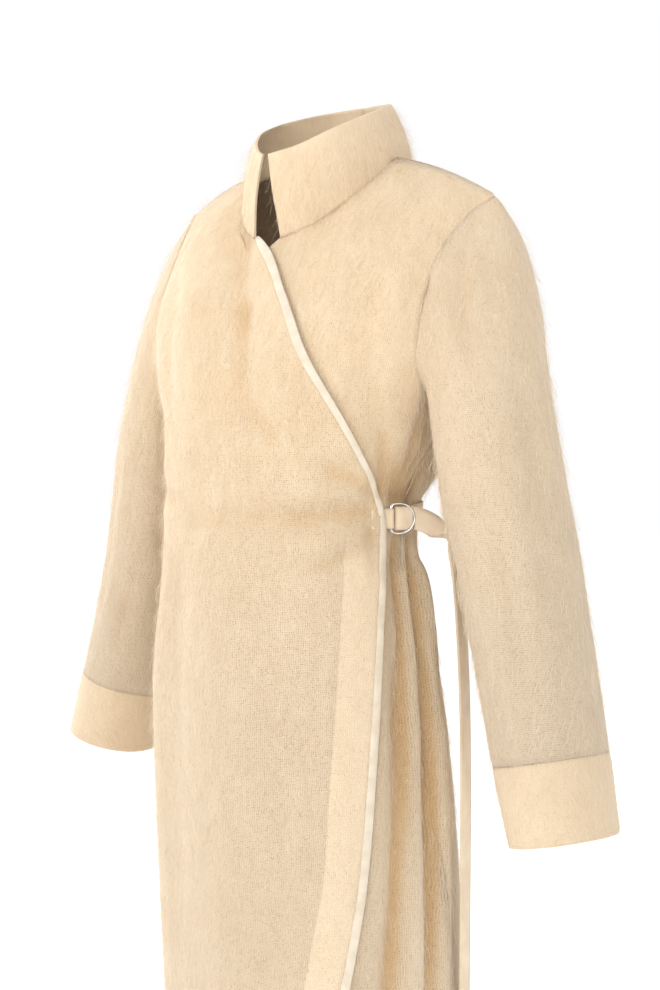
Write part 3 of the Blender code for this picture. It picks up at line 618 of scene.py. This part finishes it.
def grow_nap(piece, seed, density, length=0.030, lift=0.26):
    """A dense short nap on a piece, and a few longer loose hairs that lie flatter on it."""
    name = piece.name.replace("_cloth", "")
    short = nap.grow(name + "_nap", piece, Density=density, Length=length, Width=NAP_WIDTH,
                     Lift=lift, Wave=HAIR_WAVE, Seed=seed, Finish=loose_fibre)
    long = nap.grow(name + "_hairs", piece, Density=density * HAIR_NUMBER,
                    Length=length * HAIR_LENGTH, Width=HAIR_WIDTH, Lift=lift * HAIR_LIFT,
                    Wave=HAIR_WAVE, Seed=seed + 40, Finish=loose_fibre)
    for fuzz in (short, long):
        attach(fuzz, "root")


left_front = cloth_from("left_front", "left_front_cloth")
right_front = cloth_from("right_front", "right_front_cloth")
back = cloth_from("back", "back_cloth")
for panel in (left_front, right_front, back):
    if panel is not back:
        close_seams(panel)
    drape_body(panel)
    body_map(panel, behind=panel is back)
    mark_outside(panel, body_out)


def surface_of(*pieces):
    """All the faces of the pieces, to measure from or to find a place on."""
    points, faces = [], []
    for piece in pieces:
        start = len(points)
        points += [vertex.co.copy() for vertex in piece.data.vertices]
        faces += [tuple(start + k for k in polygon.vertices) for polygon in piece.data.polygons]
    return BVHTree.FromPolygons(points, faces)


panels = surface_of(left_front, right_front, back)
free_edge = surface_of(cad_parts["front_binding"])
paint(right_front, "from_edge", lambda vertex: free_edge.find_nearest(vertex.co)[3])

single_mohair = mohair("mohair_single")
faced_mohair = mohair("mohair_faced", faced=True)
for panel, node, finish, flat, area in (
    (left_front, "left_front", single_mohair, (0.46, 1.12), 0.38),
    (right_front, "right_front", faced_mohair, (0.48, 1.12), 0.40),
    (back, "back", single_mohair, (0.60, 1.13), 0.55),
):
    panel.data.materials.append(finish)
    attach(panel, "root")
    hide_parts(node)
grow_nap(left_front, seed=3, density=28000)
grow_nap(right_front, seed=4, density=28000)
grow_nap(back, seed=5, density=24000)


# ---------------------------------------------------------------------------
# The sleeves: one-piece, wide and nearly straight, of the same single cloth, set
# into the armholes and joined under the arm. A few long soft folds run down them.

SLEEVE_TOP = Vector((0.205, 0.0, -0.200))   # two points of the sleeve's axis
SLEEVE_LOW = Vector((0.314, -0.028, -0.675))
SLEEVE_HALF_WIDTH = 0.052
SLEEVE_HALF_DEPTH = 0.070
SLEEVE_RADIUS = 0.060
SLEEVE_UNEVEN = 0.0015
SLEEVE_SEAMS = UNDERARM - 0.05              # the armhole seam is above here
SLEEVE_HEAD = -0.075                        # smooth above here, where it is set in
SLEEVE_FREE = -0.150                        # fully creased below here

# the body's mohair painted darker for the sleeves: painted shade
SHADED_SLEEVE_LIGHT = (0.645, 0.520, 0.375, 1.0)
SHADED_SLEEVE_DEEP = (0.570, 0.445, 0.305, 1.0)

SLEEVE_CREASES = (
    Crease(60, -0.110, 78, -0.250, 0.010, -0.0026),
    Crease(100, -0.130, 112, -0.300, 0.012, -0.0030),
    Crease(150, -0.260, 138, -0.360, 0.010, -0.0034),
    Crease(20, -0.240, 34, -0.470, 0.015, -0.0030),
    Crease(-40, -0.180, -32, -0.420, 0.014, -0.0026),
    Crease(75, -0.330, 66, -0.580, 0.015, -0.0032),
    Crease(165, -0.400, 140, -0.440, 0.010, -0.0036),
    Crease(-160, -0.420, -130, -0.450, 0.011, -0.0032),
    Crease(-95, -0.300, -86, -0.560, 0.014, -0.0028),
    Crease(125, -0.480, 118, -0.590, 0.011, -0.0024),
    Crease(-20, -0.440, -24, -0.590, 0.013, -0.0022),
)


def sleeve_turn(place, side):
    """The angle round a sleeve, 0 on its outer side and 90 in front, and the way out there."""
    share = (place.z - SLEEVE_TOP.z) / (SLEEVE_LOW.z - SLEEVE_TOP.z)
    middle = SLEEVE_TOP.lerp(SLEEVE_LOW, share)
    out = Vector((place.x * side - middle.x, place.y - middle.y, 0))
    turn = math.degrees(math.atan2(-out.y / SLEEVE_HALF_DEPTH, out.x / SLEEVE_HALF_WIDTH))
    out.normalize()
    return turn, Vector((out.x * side, out.y, 0))


def drape_sleeve(piece, side, strength=1.0):
    hollow = piece.data.attributes.new("hollow", "FLOAT", "POINT")
    for vertex in piece.data.vertices:
        turn, out = sleeve_turn(vertex.co, side)
        z = vertex.co.z
        lower = ease(SLEEVE_HEAD, SLEEVE_FREE, z)
        depth, tone = crease_depth(turn, z, SLEEVE_CREASES, SLEEVE_RADIUS)
        depth *= lower
        drift = noise.noise(Vector((turn / 22, z * 9, 3.3 * side))) * SLEEVE_UNEVEN * lower
        vertex.co += out * (depth + drift) * strength
        # the painted shade and highlight of the sleeve's creases, kept for the colour
        hollow.data[vertex.index].value = tone * lower * strength


def sleeve_map(piece, side):
    layer = piece.data.uv_layers.new(name="weave")
    for polygon in piece.data.polygons:
        first = None
        for index in polygon.loop_indices:
            place = piece.data.vertices[piece.data.loops[index].vertex_index].co
            turn, _ = sleeve_turn(place, side)
            if first is None:
                first = turn
            turn -= 360 * round((turn - first) / 360)
            layer.data[index].uv = (math.radians(turn) * SLEEVE_RADIUS, place.z)


# painted shade: the sleeves wear a darker copy of the body's mohair
shaded_sleeve_mohair = mohair("mohair_sleeve", light=SHADED_SLEEVE_LIGHT, deep=SHADED_SLEEVE_DEEP, openness=1.1)
for side, word in ((1, "left"), (-1, "right")):
    sleeve = cloth_from(word + "_sleeve", word + "_sleeve_cloth")
    close_seams(sleeve, above=SLEEVE_SEAMS)
    drape_sleeve(sleeve, side)
    sleeve_map(sleeve, side)
    sleeve.data.materials.append(shaded_sleeve_mohair)
    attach(sleeve, "root")
    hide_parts(word + "_sleeve")
    mark_outside(sleeve, lambda place: sleeve_turn(place, side)[1])
    grow_nap(sleeve, seed=6 + side, density=30000)


# ---------------------------------------------------------------------------
# The cuffs: deep bands of two layers of the mohair, seamed to the sleeve above and
# edge-stitched a few millimetres from the fold at the wrist.

DOUBLE_LIGHT = (0.700, 0.555, 0.385, 1.0)
DOUBLE_DEEP = (0.635, 0.490, 0.330, 1.0)
double_cloth = mohair("mohair_double", light=DOUBLE_LIGHT, deep=DOUBLE_DEEP, openness=0.35)

STITCH_SHARE = 0.72   # of the pitch; the rest is the gap to the next stitch
STITCH_PITCH = 0.0032
THREAD_RADIUS = 0.00028
THREAD_DEEP = (0.62, 0.48, 0.31, 1.0)
THREAD_LIGHT = (0.78, 0.64, 0.46, 1.0)


def stitch_tree():
    """Short threads laid end to end along a line."""
    t = Tree("stitches", {"Pitch": ("NodeSocketFloat", 0.003),
                          "Thread": ("NodeSocketFloat", 0.0003),
                          "Finish": ("NodeSocketMaterial", None)})
    line = t.add("GeometryNodeMeshToCurve", {0: t.size("Geometry")})
    even = t.add("GeometryNodeResampleCurve", {"Curve": line.outputs[0], "Length": t.size("Pitch")},
                 mode="LENGTH")
    length = t.add("ShaderNodeMath", {0: t.size("Pitch"), 1: STITCH_SHARE}, operation="MULTIPLY")
    thread = t.add("GeometryNodeMeshCylinder", {"Vertices": 6, "Radius": t.size("Thread"),
                                                "Depth": length.outputs[0]})
    tangent = t.add("GeometryNodeInputTangent")
    turn = t.add("FunctionNodeAlignRotationToVector", {"Vector": tangent.outputs[0]}, axis="Z")
    row = t.add("GeometryNodeInstanceOnPoints",
                {"Points": even.outputs[0], "Instance": thread.outputs[0],
                 "Rotation": turn.outputs[0]})
    t.finish(row.outputs[0], t.size("Finish"))
    return t


def thread_finish(name):
    s = Shading(name)
    solid = s.add("ShaderNodeTexCoord").outputs["Object"]
    twist = s.noise(solid, 1800, 2)
    s.put(s.shader.inputs["Base Color"], s.mix(twist, THREAD_DEEP, THREAD_LIGHT))
    s.shader.inputs["Roughness"].default_value = 0.6
    return s.material


stitches = stitch_tree()
thread = thread_finish("sewing_thread")


def stitch_row(name, points):
    """A row of stitches through the points, which lie on the cloth."""
    path = bpy.data.meshes.new(name + "_path")
    path.from_pydata([tuple(p) for p in points], [(k, k + 1) for k in range(len(points) - 1)], [])
    source = bpy.data.objects.new(name + "_path", path)
    row = stitches.grow(name, source, Pitch=STITCH_PITCH, Thread=THREAD_RADIUS, Finish=thread)
    bpy.data.objects.remove(source)
    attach(row, "root")


RING_POINTS = 96
OUTSIDE_CUFF = 0.12   # farther from the axis than any cuff


def ring_on(piece, side, height, rise=0.0002):
    """Points all round a cuff, on its outer face, at one distance above its fold."""
    surface = surface_of(piece)
    axis = (SLEEVE_LOW - SLEEVE_TOP).normalized()
    axis = Vector((axis.x * side, axis.y, axis.z))
    middle = Vector((SLEEVE_LOW.x * side, SLEEVE_LOW.y, SLEEVE_LOW.z)) - axis * height
    across = Vector((0, 1, 0)).cross(axis).normalized()
    front = axis.cross(across)
    points = []
    for k in range(RING_POINTS + 1):
        turn = 2 * math.pi * k / RING_POINTS
        way = across * math.cos(turn) + front * math.sin(turn)
        hit, normal, _, _ = surface.ray_cast(middle + way * OUTSIDE_CUFF, -way)
        if hit is not None:
            points.append(hit + normal * rise)
    return points


CUFF_MIDDLE = -0.645
CUFF_STITCH = 0.0045   # from the cuff's fold up to its edge stitching

for side, word in ((1, "left"), (-1, "right")):
    cuff = cloth_from(word + "_cuff", word + "_cuff_cloth")
    close_seams(cuff, reach=0.0018, above=CUFF_MIDDLE)
    drape_sleeve(cuff, side, strength=0.5)
    sleeve_map(cuff, side)
    cuff.data.materials.append(double_cloth)
    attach(cuff, "root")
    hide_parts(word + "_cuff")
    mark_outside(cuff, lambda place: sleeve_turn(place, side)[1])
    grow_nap(cuff, seed=16 + side, density=24000, length=0.022, lift=0.2)
    stitch_row(word + "_cuff_stitches", ring_on(cuff, side, CUFF_STITCH))


# ---------------------------------------------------------------------------
# The collar: a soft stand of two layers of the mohair, sewn to the neck seam, open at
# the front, its upper edge turned and brushed.

COLLAR_RADIUS = 0.080
COLLAR_UNEVEN = 0.0024
COLLAR_SINK = 0.0058   # its lower edge goes this far into the neck seam
COLLAR_NEAR = 0.0035   # sunk in full nearer to the panels than this
COLLAR_FREE = 0.024    # and not at all farther off than this

collar = cloth_from("collar", "collar_cloth", levels=3)
for vertex in collar.data.vertices:
    x, y, z = vertex.co
    turn = math.degrees(math.atan2(x, -y))
    high = ease(-0.04, 0.06, z)
    swell = noise.noise(Vector((turn / 24, z * 18, 9.2))) * COLLAR_UNEVEN * high
    vertex.co += Vector((x, y, 0)).normalized() * swell
    gap = panels.find_nearest(vertex.co)[3]
    vertex.co.z -= COLLAR_SINK * (1 - ease(COLLAR_NEAR, COLLAR_FREE, gap))
layer = collar.data.uv_layers.new(name="weave")
for loop in collar.data.loops:
    x, y, z = collar.data.vertices[loop.vertex_index].co
    turn = math.atan2(x, -y)
    layer.data[loop.index].uv = (turn * COLLAR_RADIUS, z)
collar.data.materials.append(double_cloth)
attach(collar, "root")
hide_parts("collar")
mark_outside(collar, lambda place: Vector((place.x, place.y, 0)).normalized())
grow_nap(collar, seed=21, density=90000, length=0.026, lift=0.62)


# ---------------------------------------------------------------------------
# The facing: a second layer of the mohair inside the right front, along its free edge
# from the belt down. The paler band that it makes outside is in the right front's finish.

facing = cloth_from("right_front_facing", "facing_cloth")
drape_body(facing)
body_map(facing)
facing.data.materials.append(double_cloth)
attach(facing, "root")
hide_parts("right_front_facing")


# ---------------------------------------------------------------------------
# The binding: a smooth pale wool braid folded over the right front's free edge,
# from the foot of the collar to the hem, with fine ribs across it.

binding = cloth_from("front_binding", "binding_braid")
drape_body(binding)
body_map(binding)


RIB_PITCH = 0.0016
BRAID_DEEP = (0.610, 0.525, 0.410, 1.0)
BRAID_LIGHT = (0.690, 0.610, 0.490, 1.0)
# painted shade for the grooves between the ribs
BRAID_GROOVE_SHADE = (0.50, 0.39, 0.27, 1.0)


def braid(name):
    s = Shading(name)
    cloth = s.add("ShaderNodeUVMap", uv_map="weave").outputs[0]
    height = s.add("ShaderNodeSeparateXYZ", inputs={0: cloth}).outputs[1]
    ribs = s.math("SINE", s.math("MULTIPLY", height, 2 * math.pi / RIB_PITCH))
    fuzz = s.noise(cloth, 900, 3, 0.6)
    soft = s.noise(cloth, 60, 2)
    colour = s.mix(s.ramp(soft, 0.3, 0.7), BRAID_DEEP, BRAID_LIGHT)
    # painted shade in the grooves between the ribs
    colour = s.mix(s.ramp(ribs, 0.2, -1.0, 0.0, 0.22), colour, BRAID_GROOVE_SHADE)
    s.put(s.shader.inputs["Base Color"], colour)
    bump = s.add("ShaderNodeBump")
    s.put(bump.inputs["Height"], s.math("ADD", s.math("MULTIPLY", ribs, 0.3), fuzz))
    bump.inputs["Strength"].default_value = 0.35
    bump.inputs["Distance"].default_value = 0.0006
    s.put(s.shader.inputs["Normal"], bump.outputs[0])
    s.shader.inputs["Roughness"].default_value = 0.8
    s.shader.inputs["Sheen Weight"].default_value = 0.2
    return s.material


binding.data.materials.append(braid("wool_braid"))
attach(binding, "root")
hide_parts("front_binding")


# ---------------------------------------------------------------------------
# The belt and the ring tab: plain felted cloth, pressed flat and smoother than the
# coat. The belt goes round the back, up through both rings, back between them and down.

FELT_DEEP = (0.640, 0.505, 0.350, 1.0)
FELT_LIGHT = (0.720, 0.590, 0.430, 1.0)
FELT_FLECK = (0.80, 0.68, 0.52, 1.0)


def felt(name):
    s = Shading(name)
    solid = s.add("ShaderNodeTexCoord").outputs["Object"]
    soft = s.noise(solid, 40, 3)
    fine = s.noise(s.stretch(solid, (1, 1, 0.5)), 1500, 3, 0.6)
    colour = s.mix(s.ramp(soft, 0.35, 0.65), FELT_DEEP, FELT_LIGHT)
    colour = s.mix(s.ramp(fine, 0.35, 0.7, 0.0, 0.3), colour, FELT_FLECK)
    s.put(s.shader.inputs["Base Color"], colour)
    bump = s.add("ShaderNodeBump")
    s.put(bump.inputs["Height"], fine)
    bump.inputs["Strength"].default_value = 0.3
    bump.inputs["Distance"].default_value = 0.0005
    s.put(s.shader.inputs["Normal"], bump.outputs[0])
    s.shader.inputs["Roughness"].default_value = 0.85
    s.shader.inputs["Sheen Weight"].default_value = 0.25
    s.shader.inputs["Sheen Tint"].default_value = WOOL_SHEEN
    return s.material


felted = felt("felted_strap")
belt = cloth_from("belt", "belt_strap")
belt.data.materials.append(felted)
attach(belt, "root")
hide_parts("belt")
tab = cloth_from("ring_tab", "ring_tab_cloth")
tab.data.materials.append(felted)
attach(tab, "root")
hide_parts("ring_tab")


# ---------------------------------------------------------------------------
# The two D-rings: bent steel wire, welded on the straight side and polished, held
# by the tab. The belt runs through both and is gripped between them.

STEEL_DEEP = (0.66, 0.66, 0.67, 1.0)
STEEL_LIGHT = (0.80, 0.80, 0.81, 1.0)


def wire(name):
    s = Shading(name)
    solid = s.add("ShaderNodeTexCoord").outputs["Object"]
    smear = s.noise(solid, 260, 3)
    s.put(s.shader.inputs["Base Color"], s.mix(s.ramp(smear, 0.3, 0.7), STEEL_DEEP, STEEL_LIGHT))
    s.put(s.shader.inputs["Roughness"], s.ramp(smear, 0.3, 0.7, 0.10, 0.24))
    s.shader.inputs["Metallic"].default_value = 1.0
    return s.material


polished = wire("polished_wire")
for word in ("inner", "outer"):
    ring = cloth_from("d_ring_" + word, "ring_wire_" + word, levels=1)
    ring.data.materials.append(polished)
    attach(ring, "root")
    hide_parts("d_ring_" + word)


# ---------------------------------------------------------------------------
# The light: a white studio with three large soft lamps, high on the left of the
# camera, behind it, and out on the wearer's right side, over a plain pale floor.

world = bpy.data.worlds.new("white_studio")
bpy.context.scene.world = world
world.use_nodes = True
world.node_tree.nodes["Background"].inputs["Color"].default_value = (1, 1, 1, 1)
world.node_tree.nodes["Background"].inputs["Strength"].default_value = 1.0
bpy.context.scene.view_settings.view_transform = "Standard"

FLOOR_HEIGHT = -1.45
FLOOR_HALF = 9


def lamp(name, place, target, size, power):
    data = bpy.data.lights.new(name, "AREA")
    data.shape = "DISK"
    data.size = size
    data.energy = power
    made = bpy.data.objects.new(name, data)
    made.location = place
    made.rotation_euler = (Vector(target) - Vector(place)).to_track_quat("-Z", "Y").to_euler()
    bpy.context.scene.collection.objects.link(made)


lamp("soft_key", (-1.5, -2.3, 1.5), (0, 0, -0.35), 1.2, 35)
lamp("soft_fill", (1.5, -2.2, 0.1), (0, 0, -0.6), 1.6, 24)
lamp("soft_side", (-2.6, 0.2, 0.4), (0, 0, -0.4), 1.6, 40)

floor_mesh = bpy.data.meshes.new("floor")
floor_mesh.from_pydata([(x * FLOOR_HALF, y * FLOOR_HALF, FLOOR_HEIGHT)
                        for x, y in ((-1, -1), (1, -1), (1, 1), (-1, 1))], [], [(0, 1, 2, 3)])
floor = bpy.data.objects.new("floor", floor_mesh)
bpy.context.scene.collection.objects.link(floor)
floor_finish = Shading("pale_floor")
floor_finish.shader.inputs["Base Color"].default_value = (0.98, 0.98, 0.98, 1)
floor_finish.shader.inputs["Emission Color"].default_value = (1, 1, 1, 1)
floor_finish.shader.inputs["Emission Strength"].default_value = 0.08
floor_finish.shader.inputs["Roughness"].default_value = 1.0
floor_mesh.materials.append(floor_finish.material)
floor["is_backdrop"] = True


# ---------------------------------------------------------------------------
# The camera: at chest height, in front of the wearer's left, close enough that
# the hem is below the frame.

CAMERA_PLACE = (0.893, -1.143, -0.242)
CAMERA_TILT = 85.4   # degrees from straight down
CAMERA_TURN = 38     # degrees round from the front towards the wearer's left
LENS = 47.64
SHIFT = 0.005

camera_data = bpy.data.cameras.new("camera")
camera_data.sensor_width = 36
camera_data.lens = LENS
camera_data.shift_x = SHIFT
camera = bpy.data.objects.new("camera", camera_data)
camera.location = CAMERA_PLACE
camera.rotation_euler = (math.radians(CAMERA_TILT), 0, math.radians(CAMERA_TURN))
bpy.context.scene.collection.objects.link(camera)
bpy.context.scene.camera = camera

low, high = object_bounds()
